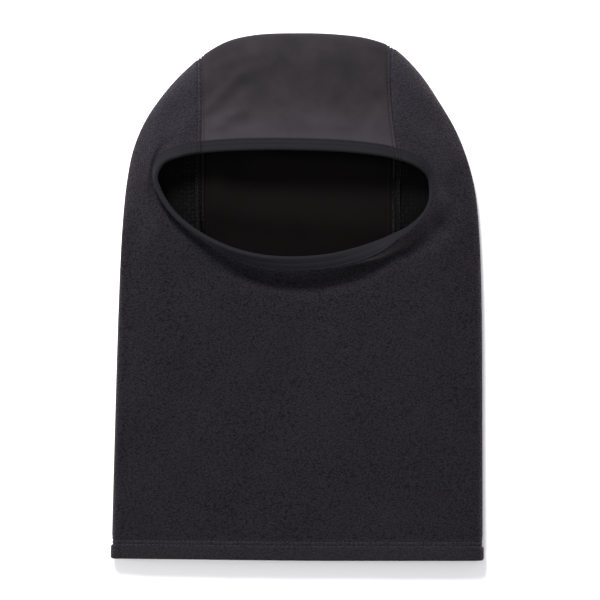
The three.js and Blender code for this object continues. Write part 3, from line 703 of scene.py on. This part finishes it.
# Painted light: the pile's tone is made paler towards the crown. It is also made paler over the
# turned-up hem.
shade = paler(pile, given["Vector"], shade, 0.02, 0.165, 0.24)
shade = paler(pile, given["Vector"], shade, -0.1735, -0.1765, 0.11)
give_out(pile, height, shade)


def cloth_material(name, group, dark, light, bump, span, settings, sizes=None, wraps=False):
    """A matt cloth: its colour runs from dark to light with the group's Shade, and its relief
    comes from the group's Height. A cloth that wraps takes its place from the solid hood."""
    made = bpy.data.materials.new(name)
    made.use_nodes = True
    tree = made.node_tree
    shader = tree.nodes["Principled BSDF"]
    if wraps:
        place = lay(tree, "TexCoord").outputs["Object"]
    else:
        place = lay(tree, "UVMap", uv_map="cloth").outputs["UV"]
    field = lay(tree, "Group", sizes, {"Vector": place}, node_tree=group)
    tone = lay(tree, "ValToRGB", None, {"Fac": field.outputs["Shade"]})
    for stop, at, colour in zip(tone.color_ramp.elements, span, (dark, light)):
        stop.position = at
        stop.color = (*colour, 1)
    tree.links.new(tone.outputs["Color"], shader.inputs["Base Color"])
    relief = lay(tree, "Bump", {"Strength": bump[0], "Distance": bump[1]},
                 {"Height": field.outputs["Height"]})
    tree.links.new(relief.outputs["Normal"], shader.inputs["Normal"])
    for key, value in settings.items():
        shader.inputs[key].default_value = value
    return made


fleece_cloth = cloth_material(
    "brushed_fleece", pile, (0.0022, 0.0021, 0.0029), (0.0205, 0.0195, 0.0246), (0.95, 0.0010),
    (0.22, 0.98),
    {"Roughness": 0.95, "Specular IOR Level": 0.03, "Sheen Weight": 0.11,
     "Sheen Roughness": 0.5, "Sheen Tint": (1.0, 0.84, 0.96, 1)}, wraps=True)
fleece.data.materials.append(fleece_cloth)

# Inside, the fleece is black and knitted in a raised grid of small diamonds. Its colour is set
# far darker than the outer face's, which is painted shade of the hood's hollow inside.
grid, given = knit_field("raised_grid", Pitch=330.0)
lattice = lay(grid, "TexVoronoi", {"Randomness": 0.35, "Smoothness": 0.35},
              {"Vector": given["Vector"], "Scale": given["Pitch"]},
              feature="SMOOTH_F1", distance="MANHATTAN")
lumps = lay(grid, "MapRange", {"From Max": 0.7, "To Min": 1.0, "To Max": 0.0},
            {"Value": lattice.outputs["Distance"]})
fuzz = lay(grid, "TexNoise", {"Scale": 900.0}, {"Vector": given["Vector"]})
fuzzy = mixed(grid, lumps.outputs["Result"], fuzz.outputs["Fac"], 0.35)
give_out(grid, fuzzy, fuzzy)
inner_cloth_painted_shade = cloth_material(
    "grid_inside_painted_shade", grid, (0.0022, 0.0021, 0.0022), (0.0062, 0.0060, 0.0062),
    (0.6, 0.0006), (0.15, 0.8), {"Roughness": 0.95, "Specular IOR Level": 0.02}, wraps=True)
fleece.data.materials.append(inner_cloth_painted_shade)


# ---- Crown strip ----------------------------------------------------------------------------
# Smooth stretch cloth, 1.1 mm thick, let in between the two seams. It runs from the brow over
# the crown and on down the back to the hem, and is turned up with the fleece there.
STRIP_THICK = 1.1
strip_depth = STRIP_THICK + turned * 1.0 - end_round * 0.7
strip = cloth_piece("crown_cloth", strip_quads, strip_depth)
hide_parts("crown_strip")

# Fine plain knit: narrow upright ribs crossed by finer courses.
jersey, given = knit_field("fine_jersey", Ribs=1500.0, Courses=1900.0)
WAVE_UNIT = 0.314  # a wave of scale 1 runs 20 radians a unit, and a rib is one turn


def rib_wave(axis, count):
    scale = lay(jersey, "Math", {1: WAVE_UNIT}, {0: count}, operation="MULTIPLY")
    return lay(jersey, "TexWave", {"Distortion": 0.6, "Detail": 1.0},
               {"Scale": scale.outputs["Value"], "Vector": given["Vector"]},
               wave_type="BANDS", bands_direction=axis).outputs["Fac"]


loops = mixed(jersey, rib_wave("X", given["Ribs"]), rib_wave("Y", given["Courses"]), 0.4)
uneven = lay(jersey, "TexNoise", {"Scale": 46.0, "Detail": 5.0, "Roughness": 0.6},
             {"Vector": given["Vector"]})
shade = mixed(jersey, loops, uneven.outputs["Fac"], 0.5)
shade = paler(jersey, given["Vector"], shade, 0.148, 0.112, 0.34)  # painted light: paler towards the brow
give_out(jersey, loops, shade)

strip_cloth = cloth_material(
    "smooth_stretch_cloth", jersey, (0.0042, 0.0035, 0.0040), (0.0270, 0.0229, 0.0272),
    (0.22, 0.0002), (0.26, 0.98),
    {"Roughness": 0.75, "Specular IOR Level": 0.1, "Sheen Weight": 0.03,
     "Sheen Roughness": 0.4, "Sheen Tint": (1.0, 0.9, 1.0, 1)})
strip.data.materials.append(strip_cloth)
# The strip's inner face: its colour is set far darker than its outer face's, which is painted
# shade of the hood's hollow inside.
strip_inner_painted_shade = cloth_material(
    "stretch_inside_painted_shade", jersey, (0.0013, 0.0011, 0.0011), (0.0034, 0.0029, 0.0028),
    (0.22, 0.0002), (0.2, 0.9), {"Roughness": 0.9, "Specular IOR Level": 0.02})
strip.data.materials.append(strip_inner_painted_shade)


# ---- Face binding ---------------------------------------------------------------------------
# Soft elastic tape folded over the cut edge of the face opening, so that it grips both faces of
# the cloth. Its two ends lie over one another at the upper left.
BINDING_OUT = 7.0  # outer leg over the cloth, measured from the cut edge
BINDING_IN = 6.0
TAPE = 0.8
GRIP = 0.2
JOIN = (-84.0, 104.0)  # where the tape's ends lap
JOIN_LENGTH = 15.0

edge_points = skin[front_ids[:, 0]]
band_end = points[front_ids[:, BAND_STEPS]]
edge_out = unit(band_end - edge_points, 0)
edge_run = unit(np.roll(edge_points, -1, axis=0) - np.roll(edge_points, 1, axis=0), 0)
edge_up = unit(np.cross(edge_run, edge_out), 0)
edge_up *= np.sign((edge_up * normals[front_ids[:, 2]]).sum(1))[:, None]
edge_step = np.linalg.norm(np.roll(edge_points, -1, axis=0) - edge_points, axis=1)
edge_along = np.concatenate([[0], np.cumsum(edge_step)[:-1]])
edge_length = edge_step.sum()
join_at = edge_along[np.argmin(np.hypot(edge_points[:, 0] - JOIN[0],
                                        edge_points[:, 1] - JOIN[1]))]
past_join = (edge_along - join_at + edge_length / 2) % edge_length - edge_length / 2
lap = ease(0, 0.9, past_join) * ease(JOIN_LENGTH, JOIN_LENGTH - 0.9, past_join)
pucker = np.sin(edge_along * 2 * math.pi / 8.7) * 0.5 + np.sin(edge_along / 3.1 + 1) * 0.5

across = np.concatenate([[BINDING_OUT, BINDING_OUT - 0.08], np.linspace(6.6, -0.3, 17)])
crown_of_leg = 0.16 * np.sin(math.pi * np.clip((across + 0.6) / 7.6, 0, 1))
needle_line = BINDING_OUT - 1.5
top_leg = (GRIP + TAPE + crown_of_leg - dip(across - needle_line, 0.3, 0.42)
           - dip(across - 2.3, 0.24, 0.45))
top_leg[0], top_leg[1] = GRIP + 0.3, GRIP + 0.62
turn = np.linspace(math.pi / 2, 3 * math.pi / 2, 13)[1:-1]
half_height = (EDGE_THICK + 2 * GRIP + 2 * TAPE) / 2
middle = -EDGE_THICK / 2
under = middle - half_height
section = list(zip(across, top_leg))
section += [(-0.4 + 1.35 * math.cos(a), middle + half_height * math.sin(a)) for a in turn]
section += [(a, under) for a in np.linspace(0, BINDING_IN - 0.2, 6)]
section += [(BINDING_IN, under + 0.35), (BINDING_IN - 0.1, under + TAPE),
            (3.0, under + TAPE), (0.15, under + TAPE), (0.15, GRIP), (3.5, GRIP),
            (BINDING_OUT - 0.3, GRIP + 0.02)]
section = np.array(section)
rings = []
for i in range(COLUMNS):
    a, b = section[:, 0].copy(), section[:, 1].copy()
    a[a > 0] *= wide_lip(edge_points[i, 1])
    outside = b > GRIP + 0.05
    b[outside] += 0.75 * lap[i] + 0.07 * pucker[i]
    rings.append(edge_points[i] + edge_out[i] * a[:, None] + edge_up[i] * b[:, None])
rings = np.array(rings)


def ring_faces(count, around, closed):
    """Quads between rings of points, back to the first ring if closed."""
    ids = np.arange(count * around).reshape(count, around)
    ids = np.hstack([ids, ids[:, :1]])
    if closed:
        ids = np.vstack([ids, ids[:1]])
    return grid_quads(ids)


def facing_out(vertices, faces):
    """The faces, turned round if their solid would be inside out."""
    volume = 0.0
    for k in range(1, faces.shape[1] - 1):
        a, b, c = vertices[faces[:, 0]], vertices[faces[:, k]], vertices[faces[:, k + 1]]
        volume += (a * np.cross(b, c)).sum()
    return faces[:, ::-1] if volume < 0 else faces


girth = np.concatenate([[0], np.cumsum(np.hypot(*np.diff(section, axis=0).T))])
binding_uv = np.stack(np.meshgrid(edge_along, girth, indexing="ij"), axis=-1).reshape(-1, 2)
binding_points = rings.reshape(-1, 3)
binding = link("binding_tape", binding_points * MM,
               facing_out(binding_points, ring_faces(COLUMNS, len(section), True)),
               binding_uv * MM)
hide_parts("face_binding")
binding_cloth = cloth_material(
    "elastic_tape", jersey, (0.0032, 0.0031, 0.0041), (0.0094, 0.0089, 0.0111), (0.4, 0.0003),
    (0.3, 0.72),
    {"Roughness": 0.8, "Specular IOR Level": 0.05, "Sheen Weight": 0.03,
     "Sheen Roughness": 0.4, "Sheen Tint": (0.95, 0.93, 1.0, 1)},
    {"Ribs": 700.0, "Courses": 1300.0})
binding.data.materials.append(binding_cloth)


# ---- Needle threads -------------------------------------------------------------------------
# Spun polyester thread. Each stitch comes up through the cloth, lies on it for about 2 mm and
# goes down again: one row on each side of both seams, two round the hem, one on the binding.
STITCH_AT = np.array([0.0, 0.18, 0.5, 0.82, 1.0])  # stations along one stitch
STITCH_LIFT = np.array([-0.22, 0.1, 0.2, 0.1, -0.22])  # their height over the cloth
STITCH_GIRTH = np.array([0.55, 0.95, 1.0, 0.95, 0.55])
STITCH_SIDES = 6


def even_path(at, up, pitch, closed):
    """The run along a path, the path itself, and the count and step of stitches that fill it."""
    if closed:
        at, up = np.vstack([at, at[:1]]), np.vstack([up, up[:1]])
    run = np.concatenate([[0], np.cumsum(np.linalg.norm(np.diff(at, axis=0), axis=1))])
    count = int(run[-1] / pitch)
    return run, at, up, count, run[-1] / count


def sample(run, values, where):
    return np.stack([np.interp(where, run, values[:, k]) for k in range(3)], axis=-1)


def thread_piece(name, node, vertices, faces, finish):
    vertices = np.array(vertices)
    made = link(name, vertices * MM, faces, vertices[:, :2] * MM)
    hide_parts(node)
    made.data.materials.append(finish)


def stitches(name, node, path, pitch, length, radius, closed, finish):
    """One thread piece: every stitch is a small rounded tube that dips into the cloth."""
    vertices, faces = [], []
    run, at, up, count, step = even_path(*path, pitch, closed)
    sides = STITCH_SIDES
    for k in range(count):
        where = (k + 0.5) * step + (STITCH_AT - 0.5) * length
        centre = sample(run, at, where)
        n = unit(sample(run, up, where))
        ahead = centre[-1] - centre[0]
        ahead /= np.linalg.norm(ahead) + 1e-9
        side = unit(np.cross(n, ahead))
        start = len(vertices)
        for j, girth_here in enumerate(STITCH_GIRTH * radius):
            for m in range(sides):
                turn = 2 * math.pi * m / sides
                vertices.append(centre[j] + n[j] * (STITCH_LIFT[j] + girth_here * math.sin(turn))
                                + side[j] * girth_here * math.cos(turn))
        for j in range(len(STITCH_AT) - 1):
            for m in range(sides):
                a, b = start + j * sides + m, start + j * sides + (m + 1) % sides
                faces.append((a, b, b + sides, a + sides))
        end = start + (len(STITCH_AT) - 1) * sides
        faces.append(tuple(start + m for m in reversed(range(sides))))
        faces.append(tuple(end + m for m in range(sides)))
    thread_piece(name, node, vertices, faces, finish)


twist, given = knit_field("spun_twist")
plies = lay(twist, "TexWave", {"Scale": 700.0, "Distortion": 1.0}, {"Vector": given["Vector"]},
            wave_type="BANDS", bands_direction="DIAGONAL")
worn = lay(twist, "TexNoise", {"Scale": 260.0}, {"Vector": given["Vector"]})
give_out(twist, plies.outputs["Fac"], worn.outputs["Fac"])
thread_finish = cloth_material(
    "black_thread", twist, (0.0035, 0.0034, 0.0042), (0.0085, 0.0082, 0.0098), (0.4, 0.00012),
    (0.3, 0.7), {"Roughness": 0.6, "Specular IOR Level": 0.1})
pale_thread = cloth_material(
    "grey_thread", twist, (0.017, 0.0165, 0.020), (0.032, 0.031, 0.036), (0.4, 0.00012),
    (0.3, 0.7), {"Roughness": 0.6, "Specular IOR Level": 0.1})


def seam_path(c):
    """The way a seam's needle row takes: out of the binding, over the crown, down the back."""
    ids = np.concatenate([front_ids[c, 5:], cap_ids[1:, c], back_ids[:-3, BACK_START + c]])
    return skin[ids], skin_normals[ids]


SEAM_ROW = 7  # columns from a seam to its needle row, SEAM_NEEDLE away
for name, node, c in (
        ("left_seam_stitches_outer", "left_seam_thread_fleece_side", SEAM_L - SEAM_ROW),
        ("left_seam_stitches_inner", "left_seam_thread_strip_side", SEAM_L + SEAM_ROW),
        ("right_seam_stitches_inner", "right_seam_thread_strip_side", SEAM_R - SEAM_ROW),
        ("right_seam_stitches_outer", "right_seam_thread_fleece_side", SEAM_R + SEAM_ROW)):
    stitches(name, node, seam_path(c), 2.7, 2.0, 0.26, False, pale_thread)


def hem_ids(dist):
    """Points all round the hem, at a distance above its edge."""
    i = int(np.argmin(np.abs(neck_rows - dist)))
    return np.concatenate([neck_ids[i], back_ids[HOOD_ROWS + i - 1][1:-1]])


for level, row in zip(("upper", "lower"), HEM_ROWS):
    ids = hem_ids(row)
    stitches(f"hem_stitches_{level}", f"hem_thread_{level}", (skin[ids], skin_normals[ids]),
             3.1, 2.35, 0.25, True, pale_thread)
tape_row = int(np.argmin(np.abs(section[:17, 0] - needle_line)))
tape_up = np.broadcast_to(edge_up, rings[:, tape_row].shape)
stitches("binding_stitches", "binding_needle_thread", (rings[:, tape_row], tape_up),
         2.6, 1.9, 0.17, True, thread_finish)


# ---- Looper threads and overlocked seam allowances ------------------------------------------
# On the inside a looser thread zigzags between the needle rows of the hem and the binding. The
# cut edges of both seams are overlocked and pressed towards the fleece.
def zigzag(near, far, up, pitch):
    """A path that swings between two lines at an even pitch."""
    run = np.concatenate([[0], np.cumsum(np.linalg.norm(np.diff(near, axis=0), axis=1))])
    count = int(run[-1] / pitch)
    at, n = [], []
    for k in range(count):
        for share, target in ((0.0, 0), (0.35, 1), (0.5, 1), (0.85, 0)):
            where = np.array((k + share) * pitch)
            line = far if target else near
            at.append(sample(run, line, where))
            n.append(sample(run, up, where))
    return np.array(at), np.array(n)


def tube(at, up, radius, around=5):
    """A round thread along a path, with flat ends."""
    ahead = np.roll(at, -1, axis=0) - np.roll(at, 1, axis=0)
    ahead[0], ahead[-1] = at[1] - at[0], at[-1] - at[-2]
    ahead = unit(ahead)
    side = unit(np.cross(up, ahead))
    top = np.cross(ahead, side)
    turn = np.linspace(0, 2 * math.pi, around, endpoint=False)
    vertices = (at[:, None] + side[:, None] * (radius * np.cos(turn))[None, :, None]
                + top[:, None] * (radius * np.sin(turn))[None, :, None]).reshape(-1, 3)
    faces = [tuple(f) for f in ring_faces(len(at), around, False).tolist()]
    faces.append(tuple(reversed(range(around))))
    faces.append(tuple(range((len(at) - 1) * around, len(at) * around)))
    return vertices, faces


def bundle(name, tubes, node):
    """Several tubes as one thread piece."""
    vertices, faces, start = [], [], 0
    for v, f in tubes:
        vertices.append(v)
        faces += [tuple(i + start for i in face) for face in f]
        start += len(v)
    thread_piece(name, node, np.vstack(vertices), faces, thread_finish)


def inside_line(c, depth):
    """A column's line inside the cloth, from the binding over the crown to just above the hem."""
    stop = HOOD_ROWS + int(np.argmin(np.abs(neck_rows - HEM_DEPTH - 2)))
    ids = np.concatenate([front_ids[c, BAND_STEPS + 2:], cap_ids[1:, c],
                          back_ids[:stop, BACK_START + c]])
    return skin[ids] - skin_normals[ids] * depth, -skin_normals[ids]


ALLOWANCE = 1.5  # thickness of the two cut edges, pressed flat
for side, c, away in (("left", SEAM_L, -1), ("right", SEAM_R, 1)):
    lie = FLEECE_THICK + 0.15
    near, n_near = inside_line(c + away * 1, lie + ALLOWANCE + 0.12)
    far, _ = inside_line(c + away * 11, lie + ALLOWANCE * 0.6 + 0.12)
    rows = [tube(*zigzag(near, far, n_near, 2.7), 0.3)]
    for step in (3, 9):
        line, up = inside_line(c + away * step, lie + ALLOWANCE + 0.2)
        rows.append(tube(line, up, 0.22))
    bundle(f"{side}_overlock_thread", rows, f"{side}_seam_overlock")
    # The allowance itself: a flat strip of both cloths with a soft outer edge.
    tops = [lie + ALLOWANCE * h for h in (0.75, 1.0, 1.0, 1.0, 0.85, 0.3)]
    places = [0, 2, 4, 7, 10, 12]
    top_lines = [inside_line(c + away * p, d)[0] for p, d in zip(places, tops)]
    low_lines = [inside_line(c + away * p, lie - 0.05)[0] for p in places]
    strip_section = np.stack(top_lines + low_lines[::-1], axis=1)
    flat_faces = ring_faces(*strip_section.shape[:2], False)
    solid = facing_out(strip_section.reshape(-1, 3), flat_faces)
    ends = strip_section.shape[1]
    last = (strip_section.shape[0] - 1) * ends
    order = 1 if np.array_equal(solid[0], flat_faces[0]) else -1
    caps = [tuple(range(ends))[::-order], tuple(range(last, last + ends))[::order]]
    allowance = link(f"{side}_seam_allowance", strip_section.reshape(-1, 3) * MM,
                     [tuple(f) for f in solid.tolist()] + caps,
                     strip_section.reshape(-1, 3)[:, :2] * MM)
    # Painted shade: the allowance takes the inside's darkened colour.
    allowance.data.materials.append(inner_cloth_painted_shade)

near = rings[:, len(across) + len(turn) + 1] - edge_up * 0.2
far = near + edge_out * 4.4
swing, swing_up = zigzag(near, far, -edge_up, 2.6)
bundle("binding_looper", [tube(swing, swing_up, 0.18)], "binding_looper_thread")
ids_upper, ids_lower = (hem_ids(row) for row in HEM_ROWS)
on_strip = np.isin(ids_upper, np.unique(strip_quads)) & (np.abs(to_seam[ids_upper]) > 3)
hem_depth = np.where(on_strip, STRIP_THICK + 1.2, FLEECE_THICK + 2.1)[:, None]
upper_in = skin[ids_upper] - skin_normals[ids_upper] * hem_depth
lower_in = skin[ids_lower] - skin_normals[ids_lower] * hem_depth
swing, swing_up = zigzag(upper_in, lower_in, -skin_normals[ids_upper], 3.1)
bundle("hem_looper", [tube(swing, swing_up, 0.25)], "hem_looper_thread")


# ---- Floor, light and camera ----------------------------------------------------------------
# A white table under a large soft light beyond the crown, so that what shadow there is falls
# towards the neck.
bpy.ops.mesh.primitive_plane_add(size=6.0, location=(0, 0, -0.0003))
floor = bpy.context.active_object
floor.name = "studio_floor"
paper = bpy.data.materials.new("white_paper")
paper.use_nodes = True
paper_shader = paper.node_tree.nodes["Principled BSDF"]
paper_shader.inputs["Base Color"].default_value = (0.9, 0.9, 0.92, 1)
paper_shader.inputs["Roughness"].default_value = 0.9
floor.data.materials.append(paper)
floor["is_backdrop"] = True


def soft_light(name, at, aim, size, watts):
    lamp = bpy.data.lights.new(name, "AREA")
    lamp.shape = "DISK"
    lamp.size = size
    lamp.energy = watts
    holder = bpy.data.objects.new(name, lamp)
    holder.location = at
    holder.rotation_euler = (Vector(aim) - Vector(at)).to_track_quat("-Z", "Y").to_euler()
    bpy.context.collection.objects.link(holder)


soft_light("beyond_crown", (-0.36, 1.22, 1.22), (0, 0, 0), 0.55, 54)
soft_light("overhead", (0.1, -0.25, 2.1), (0, -0.1, 0), 1.3, 15)
soft_light("left_wall", (-1.7, -0.1, 0.75), (0, -0.05, 0), 0.8, 13)
surround = bpy.data.worlds.new("white_room")
surround.use_nodes = True
surround.node_tree.nodes["Background"].inputs["Color"].default_value = (1, 1, 1, 1)
surround.node_tree.nodes["Background"].inputs["Strength"].default_value = 0.46
bpy.context.scene.world = surround
bpy.context.scene.view_settings.view_transform = "Standard"

lens = bpy.data.cameras.new("from_above")
lens.lens = 150
lens.sensor_width = 36
camera = bpy.data.objects.new("from_above", lens)
low, high = (Vector(corner) for corner in (cad_low, cad_high))
middle_of_hood = (low + high) / 2
seen_width = (high.y - low.y) * 1.1348  # the hood's length fills most of the frame
half_depth = 0.016  # the lens is set for the middle of the hood's depth
camera.location = (middle_of_hood.x + 0.00205, middle_of_hood.y - 0.0023,
                   half_depth + seen_width * lens.lens / lens.sensor_width)
lens.clip_end = 20
bpy.context.collection.objects.link(camera)
bpy.context.scene.camera = camera
